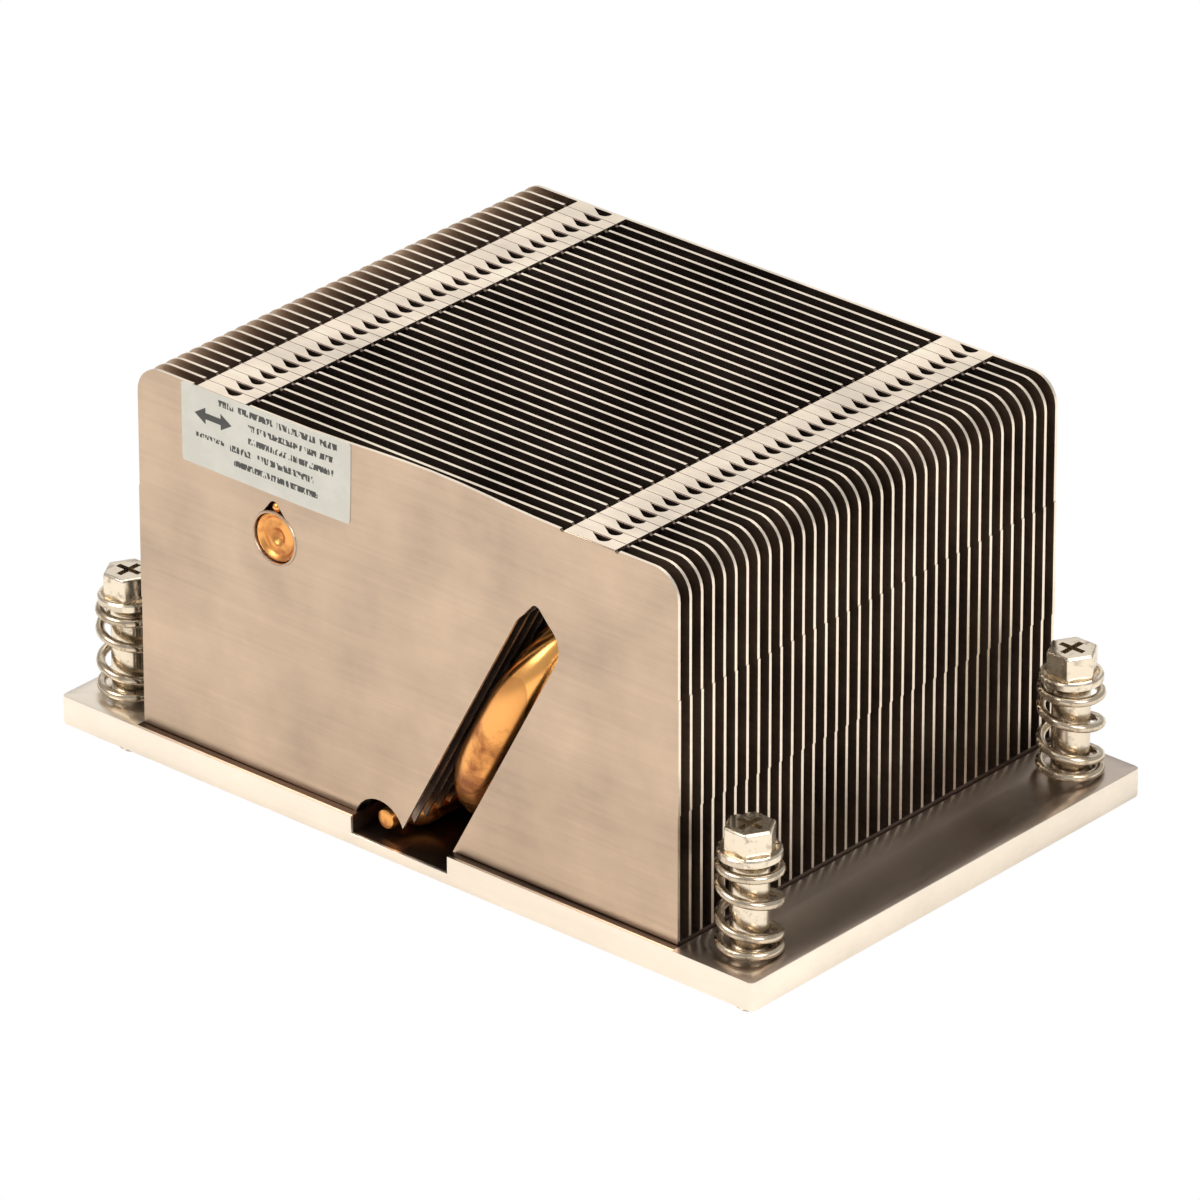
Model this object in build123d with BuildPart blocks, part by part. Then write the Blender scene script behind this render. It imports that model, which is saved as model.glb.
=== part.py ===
from build123d import *
from math import atan2, copysign, cos, pi, radians, sin, tan
import os

# Passive server CPU heatsink, in millimetres.
# X runs along the fins, Y across the stack from front to back, Z up.
# The origin is the centre of the face that sits on the processor.

# Base plate
base_length = 105.0
base_width = 68.0
base_thickness = 3.6
base_corner_chamfer = 0.6
groove_floor = 1.4

# Captive screws in the four corners, 94 by 56 between their axes
screw_inset_x = 5.5
screw_inset_y = 6.0
shank_radius = 2.25
screw_hole_clearance = 0.3
thread_radius = 1.6
thread_reach = 3.7
head_across_flats = 5.4
head_height = 2.9
head_edge = 0.35
flange_radius = 3.7
flange_thickness = 1.0

# Springs under the screw heads
spring_outer_radius = 4.0
spring_wire_radius = 0.55
spring_height = 11.9
spring_end_pitch = 1.2
spring_open_turns = 2
spring_start_angle = 77.0

# Open retaining rings, in pockets under the base
ring_radius = 3.5
ring_thickness = 0.7
ring_seat_radius = 1.75
ring_fit = 0.05
ring_mouth = 2.6
ring_pocket_clearance = 0.5
ring_pocket_depth = 1.3

# Fins; the insets run from the edges of the base, the tabs' from the ends of the fins
fin_count = 35
fin_thickness = 0.4
fin_end_inset = 12.0
stack_inset = 1.33
fin_height = 46.0
fin_corner_radius = 3.5
tab_inset = 12.9
tab_width = 7.4
tab_window_offset = 2.0
tab_window_length = 2.4
tab_window_depth = 1.0

# Heat pipes, bent from round tube and pressed flat along the base
pipe_radius = 3.0
pipe_upper_x = 19.65
pipe_upper_z = 34.2
pipe_pressed_width = 6.7
pipe_pressed_height = 4.7
pipe_side_gap = 0.6
pipe_bend_radius = 14.0
pipe_press_run = 5.0
pipe_rest_gap = 0.05
pipe_end_inset = 0.35
pipe_taper_run = 3.2
pipe_nipple_radius = 1.25
pipe_nipple_length = 1.8
dome_shoulder_radius = 2.3
dome_shoulder_depth = 1.1
dome_rim_radius = 1.2
dome_depth = 1.6
dimple_depth = 0.8
dimple_floor_radius = 0.4

# Cut-outs that let the heat pipes through the fins
hole_clearance = 0.15
slot_clearance = 0.4
arch_width = 7.2
arch_merge = 0.2
foot_clearance = 0.9
solder_hole_radius = 0.75
solder_hole_rise = 3.9

# Label on the front fin
label_inset = 6.9
label_width = 25.4
label_height = 9.9
label_thickness = 0.1

# Flats that stand for round sections on small and hidden pieces
hardware_sides = 10
pipe_sides = 12
hidden_hole_sides = 6
solder_hole_sides = 3
fin_corner_sides = 16
wire_sides = 4
steps_per_coil = 11
steps_per_bend = 5

# Places that follow from the sizes above
screw_x = base_length / 2 - screw_inset_x
screw_y = base_width / 2 - screw_inset_y
fin_length = base_length - 2 * fin_end_inset
fin_pitch = (base_width - 2 * stack_inset - fin_thickness) / (fin_count - 1)
tab_centre = fin_length / 2 - tab_inset
fin_bottom = base_thickness
fin_top = fin_bottom + fin_height
corner_x = fin_length / 2 - fin_corner_radius
corner_z = fin_top - fin_corner_radius
first_fin = -fin_pitch * (fin_count - 1) / 2
stack_front = first_fin - fin_thickness / 2
stack_back = -stack_front
pipe_lower_x = (pipe_pressed_width + pipe_side_gap) / 2
pipe_pressed_z = groove_floor + pipe_pressed_height / 2
pipe_round_z = groove_floor + pipe_rest_gap + pipe_radius
groove_width = 4 * pipe_lower_x
bend_back = stack_front + pipe_radius + pipe_bend_radius
press_back = bend_back + pipe_press_run
nipple_end = stack_back - pipe_end_inset
nipple_start = nipple_end - pipe_nipple_length
taper_start = nipple_start - pipe_taper_run
dome_end = stack_back - pipe_end_inset
dome_start = dome_end - dome_depth
slot_lean = atan2(pipe_upper_x - pipe_lower_x, pipe_upper_z - pipe_round_z)
leg_distance = (pipe_upper_z - pipe_round_z) / cos(slot_lean)
slot_radius = pipe_radius + slot_clearance
slotted_fins = int((bend_back - first_fin) / fin_pitch) + 1
slot_foot_x = pipe_lower_x - (pipe_round_z - groove_floor) * tan(slot_lean)
slot_left_foot = slot_foot_x + (fin_bottom - groove_floor) * tan(slot_lean) - slot_radius / cos(slot_lean)
arch_rise = groove_floor + pipe_pressed_height + hole_clearance - fin_bottom
arch_radius = (arch_width ** 2 / 4 + arch_rise ** 2) / (2 * arch_rise)
arch_x = arch_width / 2 - slot_left_foot - arch_merge
arch_z = fin_bottom + arch_rise - arch_radius
foot_inner = groove_width / 2 + foot_clearance
flange_bottom = base_thickness + spring_height
head_bottom = flange_bottom + flange_thickness
ring_top = ring_pocket_depth - ring_fit
ring_bottom = ring_top - ring_thickness
screw_corners = {
    "front_left": (-screw_x, -screw_y),
    "front_right": (screw_x, -screw_y),
    "back_left": (-screw_x, screw_y),
    "back_right": (screw_x, screw_y),
}

os.makedirs("parts", exist_ok=True)


def save(part, name):
    part.label = name
    export_step(part, f"parts/{name}.step")


# A round section drawn with flats that touch the radius
def flats(radius, sides):
    return RegularPolygon(radius, sides, major_radius=False, rotation=180 / sides)


# A true round where it shows or mates, the same round in flats elsewhere
def rounded(radius, true_round, sides):
    return Circle(radius) if true_round else flats(radius, sides)


# Base plate: a groove for the two pipes, four screw holes, a ring pocket under each
with BuildPart() as base_plate:
    with BuildSketch():
        outline = Rectangle(base_length, base_width)
        chamfer(outline.vertices(), length=base_corner_chamfer)
    extrude(amount=base_thickness)
    with BuildSketch(Plane.XY.offset(groove_floor)):
        Rectangle(groove_width, base_width)
    extrude(amount=base_thickness - groove_floor, mode=Mode.SUBTRACT)
    with BuildSketch():
        with Locations(*screw_corners.values()):
            flats(shank_radius + screw_hole_clearance, hardware_sides)
    extrude(amount=base_thickness, mode=Mode.SUBTRACT)
    with BuildSketch():
        with Locations(*screw_corners.values()):
            flats(ring_radius + ring_pocket_clearance, hardware_sides)
    extrude(amount=ring_pocket_depth, mode=Mode.SUBTRACT)
save(base_plate.part, "base_plate")


# Captive screw: threaded end, ring seat between two shoulders, shank, flange, hexagon head
screw_stages = [
    (thread_radius, -thread_reach, 0),
    (shank_radius, 0, ring_bottom - ring_fit),
    (ring_seat_radius, ring_bottom - ring_fit, ring_top + ring_fit),
    (shank_radius, ring_top + ring_fit, flange_bottom),
    (flange_radius, flange_bottom, head_bottom),
]
with BuildPart() as screw:
    for radius, low, high in screw_stages:
        with BuildSketch(Plane.XY.offset(low)):
            rounded(radius, radius == thread_radius, hardware_sides)
        extrude(amount=high - low)
    with BuildSketch(Plane.XY.offset(head_bottom)):
        RegularPolygon(head_across_flats / 2, 6, major_radius=False)
    extrude(amount=head_height)
    chamfer(screw.faces().sort_by(Axis.Z)[-1].edges(), length=head_edge)


# Compression spring: one close coil at each end, open coils between them
def spring_height_at(turn):
    open_rise = spring_height - 2 * spring_wire_radius - 2 * spring_end_pitch
    open_part = min(max(turn - 1, 0), spring_open_turns)
    close_part = turn - open_part
    return close_part * spring_end_pitch + open_part * open_rise / spring_open_turns


def spring_points():
    mean_radius = spring_outer_radius - spring_wire_radius
    for step in range(steps_per_coil * (2 + spring_open_turns) + 1):
        turn = step / steps_per_coil
        angle = radians(spring_start_angle) - 2 * pi * turn
        z = base_thickness + spring_wire_radius + spring_height_at(turn)
        yield (mean_radius * cos(angle), mean_radius * sin(angle), z)


with BuildPart() as spring:
    with BuildLine() as coil:
        Polyline(*spring_points())
    with BuildSketch(Plane(origin=coil.line @ 0, z_dir=coil.line % 0)):
        RegularPolygon(spring_wire_radius, wire_sides)
    sweep(path=coil.line, transition=Transition.RIGHT)


# Retaining ring, snapped on the screw under the base
with BuildPart() as ring:
    with BuildSketch(Plane.XY.offset(ring_bottom)):
        flats(ring_radius, hardware_sides)
        RegularPolygon(ring_seat_radius + ring_fit, hidden_hole_sides, major_radius=False, mode=Mode.SUBTRACT)
        Rectangle(ring_mouth, 2 * ring_radius, align=(Align.CENTER, Align.MAX), mode=Mode.SUBTRACT)
    extrude(amount=ring_thickness)

for corner, place in screw_corners.items():
    for name, piece in (("screw", screw), ("spring", spring), ("retaining_ring", ring)):
        with BuildPart() as placed:
            with Locations(place):
                add(piece.part)
        save(placed.part, f"{name}_{corner}")


# Heat pipe with its bend at the front; the plane through its legs leans by slot_lean
def pipe_point(along, y):
    return (pipe_lower_x + along * sin(slot_lean), y, pipe_round_z + along * cos(slot_lean))


def bend_points(centre_along, first_angle):
    for step in range(steps_per_bend + 1):
        angle = first_angle + pi / 2 * step / steps_per_bend
        along = centre_along + pipe_bend_radius * cos(angle)
        yield pipe_point(along, bend_back - pipe_bend_radius * sin(angle))


# Corners of a section in flats, standing on a flat, with its two halves moved apart by spread
def section_corners(x, y, z, radius, spread=0):
    corners = []
    for side in range(pipe_sides):
        angle = pi * (2 * side + 1) / pipe_sides
        reach = radius / cos(pi / pipe_sides)
        across = reach * cos(angle)
        corners.append((x + across + copysign(spread, across), y, z + reach * sin(angle)))
    return corners


def upper_section(y, radius):
    return section_corners(pipe_upper_x, y, pipe_upper_z, radius)


def pressed_section(y):
    spread = (pipe_pressed_width - pipe_pressed_height) / 2
    return section_corners(pipe_lower_x, y, pipe_pressed_z, pipe_pressed_height / 2, spread)


def nipple_section(y):
    return section_corners(pipe_lower_x, y, pipe_pressed_z, pipe_nipple_radius)


with BuildPart() as pipe:
    # Round tube along the upper leg and through both bends
    dome_foot = (pipe_upper_x, dome_start, pipe_upper_z)
    upper_bend = bend_points(leg_distance - pipe_bend_radius, 0)
    lower_bend = bend_points(pipe_bend_radius, pi / 2)
    with BuildLine() as route:
        Polyline(dome_foot, *upper_bend, *lower_bend)
    with BuildSketch(Plane(origin=dome_foot, x_dir=(1, 0, 0), z_dir=(0, 1, 0))):
        flats(pipe_radius, pipe_sides)
    sweep(path=route.line, transition=Transition.RIGHT)
    # Spun end of the upper leg, closed to a rim with a dimple in its middle
    shoulder = upper_section(dome_start + dome_shoulder_depth, dome_shoulder_radius)
    rim = upper_section(dome_end, dome_rim_radius)
    dimple_floor = upper_section(dome_end - dimple_depth, dimple_floor_radius)
    ConvexPolyhedron(upper_section(dome_start, pipe_radius) + shoulder + rim)
    ConvexPolyhedron(rim + dimple_floor, mode=Mode.SUBTRACT)
    # Lower leg: round at the bend, pressed flat in the groove, swaged down to a nipple
    bend_end = section_corners(pipe_lower_x, bend_back, pipe_round_z, pipe_radius)
    ConvexPolyhedron(bend_end + pressed_section(press_back))
    pressed_ends = pressed_section(press_back) + pressed_section(taper_start)
    ConvexPolyhedron(pressed_ends + nipple_section(nipple_start))
    ConvexPolyhedron(nipple_section(nipple_start) + nipple_section(nipple_end))
save(pipe.part, "heat_pipe_front")

with BuildPart() as back_pipe:
    add(pipe.part, rotation=(0, 0, 180))
save(back_pipe.part, "heat_pipe_back")


# One fin standing at Y = 0, with its tabs and feet folded back to the next fin
def make_fin(slot_side, outer, folded):
    back = fin_thickness / 2
    next_face = fin_pitch - fin_thickness / 2
    with BuildPart() as fin:
        with BuildSketch(Plane.XZ) as blank:
            if outer:
                with Locations((0, fin_bottom)):
                    Rectangle(fin_length, fin_height, align=(Align.CENTER, Align.MIN))
                fillet(blank.vertices().group_by(Axis.Y)[-1], radius=fin_corner_radius)
            else:
                with Locations((0, fin_bottom)):
                    Rectangle(fin_length, fin_height / 2, align=(Align.CENTER, Align.MIN))
                with Locations((-corner_x, corner_z), (corner_x, corner_z)):
                    flats(fin_corner_radius, fin_corner_sides)
                make_hull()
        extrude(amount=fin_thickness / 2, both=True)
        for side in (-1, 1):
            # Pipe hole, drawn up to the solder hole above it
            with BuildSketch(Plane.XZ):
                with Locations((side * pipe_upper_x, pipe_upper_z)):
                    hole_radius = slot_radius if side == slot_side else pipe_radius + hole_clearance
                    rounded(hole_radius, outer, hidden_hole_sides)
                with Locations((side * pipe_upper_x, pipe_upper_z + solder_hole_rise)):
                    if outer:
                        Circle(solder_hole_radius)
                    else:
                        RegularPolygon(solder_hole_radius, solder_hole_sides, rotation=90)
                make_hull()
            extrude(amount=fin_thickness / 2, both=True, mode=Mode.SUBTRACT)
        if slot_side:
            # Slanted slot along the bend of one pipe, and an arch over the other pipe
            with BuildSketch(Plane.XZ):
                slot_foot = (slot_side * slot_foot_x, groove_floor)
                with Locations((slot_side * pipe_upper_x, pipe_upper_z), slot_foot):
                    rounded(slot_radius, outer, hidden_hole_sides)
                make_hull()
            extrude(amount=fin_thickness / 2, both=True, mode=Mode.SUBTRACT)
            with BuildSketch(Plane.XZ):
                if outer:
                    with Locations((-slot_side * arch_x, arch_z)):
                        Circle(arch_radius)
                else:
                    with Locations((-slot_side * pipe_lower_x, pipe_round_z)):
                        flats(pipe_pressed_width / 2 + hole_clearance, hidden_hole_sides)
            extrude(amount=fin_thickness / 2, both=True, mode=Mode.SUBTRACT)
        else:
            # One arch over both lower legs
            with BuildSketch(Plane.XZ):
                with Locations((-pipe_lower_x, pipe_round_z), (pipe_lower_x, pipe_round_z)):
                    flats(pipe_pressed_width / 2 + hole_clearance, hidden_hole_sides)
                make_hull()
            extrude(amount=fin_thickness / 2, both=True, mode=Mode.SUBTRACT)
        if folded:
            with BuildSketch(Plane.XY.offset(fin_top)):
                for side in (-1, 1):
                    with Locations((side * tab_centre - tab_width / 2, 0)):
                        Polygon(
                            (0, back),
                            (tab_width, back),
                            (tab_width, next_face),
                            (tab_window_offset + tab_window_length, next_face),
                            (tab_window_offset + tab_window_length, next_face - tab_window_depth),
                            (tab_window_offset, next_face),
                            (0, next_face),
                        )
            extrude(amount=-fin_thickness)
            with BuildSketch(Plane.XY.offset(fin_bottom)):
                for side in (-1, 1):
                    with Locations((side * (fin_length / 2 + foot_inner) / 2, fin_pitch / 2)):
                        Rectangle(fin_length / 2 - foot_inner, next_face - back)
            extrude(amount=fin_thickness)
    return fin.part


fin_shapes = {}
for number in range(fin_count):
    slot_side = (number < slotted_fins) - (number >= fin_count - slotted_fins)
    kind = (slot_side, number in (0, fin_count - 1), number < fin_count - 1)
    if kind not in fin_shapes:
        fin_shapes[kind] = make_fin(*kind)
    with BuildPart() as fin:
        with Locations((0, first_fin + fin_pitch * number, 0)):
            add(fin_shapes[kind])
    save(fin.part, f"fin_{number + 1:02d}")

# Label, stuck along the top edge of the front fin
with BuildPart() as label:
    with BuildSketch(Plane.XZ.offset(-stack_front)):
        with Locations((label_inset - fin_length / 2, fin_top)):
            Rectangle(label_width, label_height, align=(Align.MIN, Align.MAX))
    extrude(amount=label_thickness)
save(label.part, "label")
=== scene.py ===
import bpy
import math
from mathutils import Matrix, Vector


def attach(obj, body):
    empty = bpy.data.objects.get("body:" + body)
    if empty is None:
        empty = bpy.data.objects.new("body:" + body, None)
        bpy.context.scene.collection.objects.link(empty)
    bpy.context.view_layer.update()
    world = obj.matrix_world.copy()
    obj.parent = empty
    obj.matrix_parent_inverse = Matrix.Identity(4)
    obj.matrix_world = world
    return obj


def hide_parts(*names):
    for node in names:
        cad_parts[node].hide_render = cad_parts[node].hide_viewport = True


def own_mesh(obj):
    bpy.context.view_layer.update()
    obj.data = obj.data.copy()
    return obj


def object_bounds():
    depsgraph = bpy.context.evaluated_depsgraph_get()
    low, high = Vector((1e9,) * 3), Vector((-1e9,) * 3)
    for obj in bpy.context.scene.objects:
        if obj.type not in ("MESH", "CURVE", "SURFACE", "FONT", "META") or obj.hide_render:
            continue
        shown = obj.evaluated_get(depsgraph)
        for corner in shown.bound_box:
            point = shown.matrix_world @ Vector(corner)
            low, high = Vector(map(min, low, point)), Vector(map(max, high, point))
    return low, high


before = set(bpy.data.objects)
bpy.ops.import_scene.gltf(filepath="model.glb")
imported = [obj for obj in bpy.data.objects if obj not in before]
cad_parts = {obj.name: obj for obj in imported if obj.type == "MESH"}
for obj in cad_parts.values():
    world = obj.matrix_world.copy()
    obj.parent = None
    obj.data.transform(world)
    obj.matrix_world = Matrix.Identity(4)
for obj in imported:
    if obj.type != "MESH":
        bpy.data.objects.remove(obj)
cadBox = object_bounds()
print("frame loaded")

mm = 0.001
near = 0.01  # millimetres within which a point counts as lying on a plane
past = 1.0  # millimetres by which a cutter reaches past the piece
faceOn = 0.9  # how far the normal of a face points along an axis that it is square to
quarterTurn = math.pi / 2
corners = {
    "front_left": (-47.0, -28.0),
    "front_right": (47.0, -28.0),
    "back_left": (-47.0, 28.0),
    "back_right": (47.0, 28.0),
}
colourKind, valueKind, vectorKind = "NodeSocketColor", "NodeSocketFloat", "NodeSocketVector"


# node helpers: a value is a number or a colour, or the socket that it comes from
def feed(tree, value, socket):
    if isinstance(value, bpy.types.NodeSocket):
        tree.links.new(value, socket)
    else:
        socket.default_value = value


def addNode(tree, kind, **values):
    node = tree.nodes.new(kind)
    for key, value in values.items():
        if key in node.inputs:
            feed(tree, value, node.inputs[key])
        else:
            setattr(node, key, value)
    return node


def calculate(tree, operation, *values, clamp=False):
    node = addNode(tree, "ShaderNodeMath", operation=operation, use_clamp=clamp)
    for value, socket in zip(values, node.inputs):
        feed(tree, value, socket)
    return node.outputs[0]


def gather(tree, operation, masks):
    total = masks[0]
    for mask in masks[1:]:
        total = calculate(tree, operation, total, mask)
    return total


def blend(tree, share, first, second):
    node = addNode(tree, "ShaderNodeMix", data_type="RGBA", Factor=share)
    feed(tree, first, node.inputs[6])
    feed(tree, second, node.inputs[7])
    return node.outputs[2]


def ramp(tree, value, start, end, low, high):
    ends = {"Value": value, "From Min": start, "From Max": end, "To Min": low, "To Max": high}
    return addNode(tree, "ShaderNodeMapRange", **ends).outputs[0]


# X, Y and Z of the point's place or of its normal, in the piece's own axes
def splitCoords(tree, kind):
    coords = addNode(tree, "ShaderNodeTexCoord")
    return addNode(tree, "ShaderNodeSeparateXYZ", Vector=coords.outputs[kind]).outputs


# the kind of an input follows from its value: a number, a vector of three or a colour of four
def newGroup(name, inputs, outputs):
    tree = bpy.data.node_groups.new(name, "ShaderNodeTree")
    for label, value in inputs.items():
        kind = {3: vectorKind, 4: colourKind}[len(value)] if isinstance(value, tuple) else valueKind
        tree.interface.new_socket(label, in_out="INPUT", socket_type=kind).default_value = value
    for label, kind in outputs.items():
        tree.interface.new_socket(label, in_out="OUTPUT", socket_type=kind)
    return tree, tree.nodes.new("NodeGroupInput").outputs, tree.nodes.new("NodeGroupOutput").inputs


def placeGroup(tree, group, values):
    node = tree.nodes.new("ShaderNodeGroup")
    node.node_tree = group
    for key, value in values.items():
        feed(tree, value, node.inputs[key])
    return node


# rolled sheet: fine streaks along the fin and soft cloudy patches
sheetGrain = {
    "streakScale": (60, 900, 1700), "streakTurn": 3.0, "streakDetail": 5.0, "streakRoughness": 0.65,
    "cloudScale": 95.0, "cloudDetail": 4.0, "cloudRoughness": 0.55, "middle": 0.5, "roughnessShare": 0.35,
    "reliefStrength": 0.3, "reliefDepth": 0.02,
}


def makeRolledSheet():
    grain = sheetGrain
    tree, inside, outside = newGroup(
        "rolledSheet",
        {"Colour": (0.8, 0.75, 0.69, 1), "Streaks": 0.5, "Clouds": 0.5, "Roughness": 0.4},
        {"Colour": colourKind, "Roughness": valueKind, "Height": valueKind})
    place = addNode(tree, "ShaderNodeTexCoord").outputs["Object"]
    stretch = addNode(
        tree, "ShaderNodeMapping", Vector=place, Scale=grain["streakScale"],
        Rotation=(0, math.radians(grain["streakTurn"]), 0))
    streaks = addNode(
        tree, "ShaderNodeTexNoise", Vector=stretch.outputs["Vector"], Scale=1.0,
        Detail=grain["streakDetail"], Roughness=grain["streakRoughness"]).outputs["Fac"]
    clouds = addNode(
        tree, "ShaderNodeTexNoise", Vector=place, Scale=grain["cloudScale"],
        Detail=grain["cloudDetail"], Roughness=grain["cloudRoughness"]).outputs["Fac"]
    streakSpan = calculate(tree, "SUBTRACT", streaks, grain["middle"])
    cloudSpan = calculate(tree, "SUBTRACT", clouds, grain["middle"])
    streakPart = calculate(tree, "MULTIPLY", streakSpan, inside["Streaks"])
    cloudPart = calculate(tree, "MULTIPLY", cloudSpan, inside["Clouds"])
    both = calculate(tree, "ADD", streakPart, cloudPart)
    shade = calculate(tree, "ADD", both, 1.0)
    tint = addNode(tree, "ShaderNodeVectorMath", operation="SCALE", Vector=inside["Colour"], Scale=shade)
    rough = calculate(tree, "MULTIPLY_ADD", both, grain["roughnessShare"], inside["Roughness"])
    tree.links.new(tint.outputs[0], outside["Colour"])
    tree.links.new(rough, outside["Roughness"])
    tree.links.new(streaks, outside["Height"])
    return tree


# tarnish: patches of a darker colour with soft borders, and a darker end to each pipe
def makeTarnish():
    tree, inside, outside = newGroup(
        "tarnish",
        {"Clean": (0.9, 0.6, 0.4, 1), "Dull": (0.4, 0.2, 0.1, 1), "Scale": 200.0, "Cover": 0.5,
         "Sharpness": 5.0, "Roughness": 0.3, "Dull Roughness": 0.2,
         "End From": 0.0312, "End To": 0.0324, "End Share": 0.45, "Rim Share": 0.15},
        {"Colour": colourKind, "Roughness": valueKind})
    place = addNode(tree, "ShaderNodeTexCoord").outputs["Object"]
    patches = addNode(
        tree, "ShaderNodeTexNoise", Vector=place, Scale=inside["Scale"], Detail=6.0, Roughness=0.6)
    border = calculate(tree, "SUBTRACT", 1.0, inside["Cover"])
    over = calculate(tree, "SUBTRACT", patches.outputs["Fac"], border)
    patch = calculate(tree, "MULTIPLY_ADD", over, inside["Sharpness"], 0.5, clamp=True)
    depth = calculate(tree, "ABSOLUTE", splitCoords(tree, "Object")["Y"])
    endShare = ramp(
        tree, depth, inside["End From"], inside["End To"], inside["End Share"], inside["Rim Share"])
    isEnd = calculate(tree, "GREATER_THAN", depth, inside["End From"])
    ending = calculate(tree, "MULTIPLY", isEnd, endShare)
    mask = calculate(tree, "ADD", patch, ending, clamp=True)
    rough = calculate(tree, "MULTIPLY_ADD", mask, inside["Dull Roughness"], inside["Roughness"])
    tree.links.new(blend(tree, mask, inside["Clean"], inside["Dull"]), outside["Colour"])
    tree.links.new(rough, outside["Roughness"])
    return tree


# colours of the fin stack, painted light and shade: a painted highlight on the edges and tab tops, and
# painted shade on the faces between the fins that gets lighter at the open ends
def makeStackShade():
    tree, inside, outside = newGroup(
        "stackShade",
        {"Edge": (0.8, 0.75, 0.69, 1), "Face": (0.5, 0.45, 0.4, 1), "Gap": (0.3, 0.25, 0.22, 1),
         "Outer Face": 0.03185, "Middle": 0.00065, "Open From": 0.030, "Open To": 0.041, "Openness": 0.9,
         "Cut From": 0.0487, "Cut To": 0.0495, "Cut Half Length": 0.036, "Foot Top": 0.00405,
         "Flat From": 0.3, "Steep Below": 0.7},
        {"Colour": colourKind})
    facing, place = splitCoords(tree, "Normal"), splitCoords(tree, "Object")
    isFlat = calculate(tree, "GREATER_THAN", calculate(tree, "ABSOLUTE", facing["Y"]), inside["Flat From"])
    depth = calculate(tree, "ABSOLUTE", calculate(tree, "SUBTRACT", place["Y"], inside["Middle"]))
    isInside = calculate(tree, "LESS_THAN", depth, inside["Outer Face"])
    along = calculate(tree, "ABSOLUTE", place["X"])
    openness = ramp(tree, along, inside["Open From"], inside["Open To"], 0.0, inside["Openness"])
    # painted shade between the fins, blended towards the outer face colour at the open ends where light gets
    # in
    gap = blend(tree, openness, inside["Gap"], inside["Face"])
    face = blend(tree, isInside, inside["Face"], gap)
    # walls of the notches and windows, and the feet, take the painted shade too
    isSteep = calculate(tree, "LESS_THAN", facing["Z"], inside["Steep Below"])
    isSunk = calculate(tree, "LESS_THAN", place["Z"], inside["Cut To"])
    isWall = calculate(tree, "MAXIMUM", isSteep, isSunk)
    isHigh = calculate(tree, "GREATER_THAN", place["Z"], inside["Cut From"])
    isCentral = calculate(tree, "LESS_THAN", along, inside["Cut Half Length"])
    isCut = gather(tree, "MULTIPLY", (isWall, isHigh, isCentral))
    isFoot = calculate(tree, "LESS_THAN", place["Z"], inside["Foot Top"])
    isPaintedShade = calculate(tree, "MAXIMUM", isCut, isFoot)
    # painted shade on these walls and feet, painted highlight on all other edges
    edge = blend(tree, isPaintedShade, inside["Edge"], inside["Gap"])
    tree.links.new(blend(tree, isFlat, edge, face), outside["Colour"])
    return tree


# colours of the plate: painted shade together with dark flux residue from soldering in the groove and under
# the fins, and a little painted shade on the top at the right end
def makeGrooveShade():
    tree, inside, outside = newGroup(
        "grooveShade",
        {"Plate": (0.8, 0.75, 0.69, 1), "Groove": (0.2, 0.15, 0.12, 1), "End": (0.5, 0.45, 0.4, 1),
         "Half Length": 0.0408, "Half Width": 0.0336, "Floor": 0.0013, "Flat From": 0.9},
        {"Colour": colourKind})
    facing, place = splitCoords(tree, "Normal"), splitCoords(tree, "Object")
    isAlong = calculate(tree, "LESS_THAN", calculate(tree, "ABSOLUTE", place["X"]), inside["Half Length"])
    isAcross = calculate(tree, "LESS_THAN", calculate(tree, "ABSOLUTE", place["Y"]), inside["Half Width"])
    isAbove = calculate(tree, "GREATER_THAN", place["Z"], inside["Floor"])
    # groove and land under the fins: painted shade and flux residue together
    isShadeAndFlux = gather(tree, "MULTIPLY", (isAlong, isAcross, isAbove))
    isUp = calculate(tree, "GREATER_THAN", facing["Z"], inside["Flat From"])
    # painted shade on the upward faces at the right end only
    isRight = calculate(tree, "GREATER_THAN", place["X"], inside["Half Length"])
    isEnd = calculate(tree, "MULTIPLY", isUp, isRight)
    plate = blend(tree, isEnd, inside["Plate"], inside["End"])
    tree.links.new(blend(tree, isShadeAndFlux, plate, inside["Groove"]), outside["Colour"])
    return tree


rolledSheet, tarnish = makeRolledSheet(), makeTarnish()


def newMaterial(name, metallic):
    material = bpy.data.materials.new(name)
    material.use_nodes = True
    shader = material.node_tree.nodes["Principled BSDF"].inputs
    shader["Metallic"].default_value = metallic
    return material, material.node_tree, shader


def sheetMaterial(name, shade, colours, finish):
    material, tree, shader = newMaterial(name, 1.0)
    shaded = placeGroup(tree, shade, colours).outputs
    finished = placeGroup(tree, rolledSheet, {"Colour": shaded["Colour"], **finish}).outputs
    relief = addNode(
        tree, "ShaderNodeBump", Strength=sheetGrain["reliefStrength"],
        Distance=sheetGrain["reliefDepth"] * mm, Height=finished["Height"])
    tree.links.new(finished["Colour"], shader["Base Color"])
    tree.links.new(finished["Roughness"], shader["Roughness"])
    tree.links.new(relief.outputs["Normal"], shader["Normal"])
    return material


def tarnishedMaterial(name, metallic, finish):
    material, tree, shader = newMaterial(name, metallic)
    finished = placeGroup(tree, tarnish, finish).outputs
    tree.links.new(finished["Colour"], shader["Base Color"])
    tree.links.new(finished["Roughness"], shader["Roughness"])
    return material


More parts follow.
